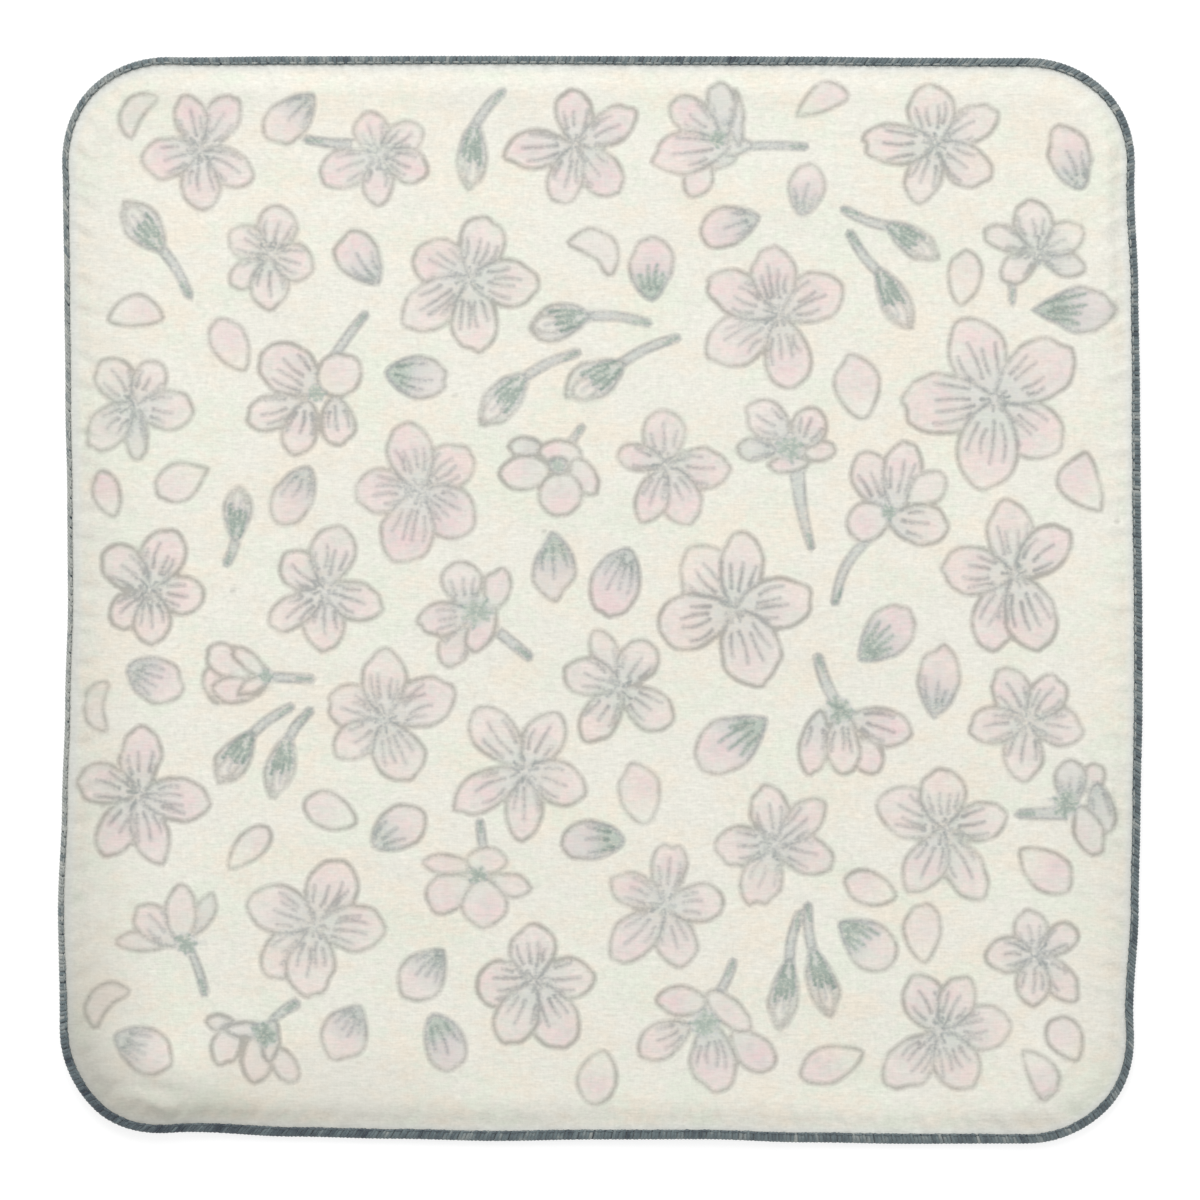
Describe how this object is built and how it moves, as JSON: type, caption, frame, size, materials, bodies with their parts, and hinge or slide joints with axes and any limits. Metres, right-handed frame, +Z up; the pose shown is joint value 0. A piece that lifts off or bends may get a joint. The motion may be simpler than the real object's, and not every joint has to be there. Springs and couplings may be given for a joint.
{
  "type": "gauze hand towel",
  "caption": "Square printed gauze hand towel laid open and flat, with rounded corners and an overlocked edging all round.",
  "frame": {"origin": "under the middle of the cloth, on the surface that the towel lies on", "axes": "+Z up from the surface, through the cloth; +Y towards the top side as the print is read; +X to the right side"},
  "size_m": [0.2519, 0.2528, 0.0046],
  "materials": {
    "gauze": "matt, printed",
    "edge_thread": "matt"
  },
  "bodies": {
    "root": {"cloth": "gauze", "edging": "edge_thread"}
  },
  "joints": []
}
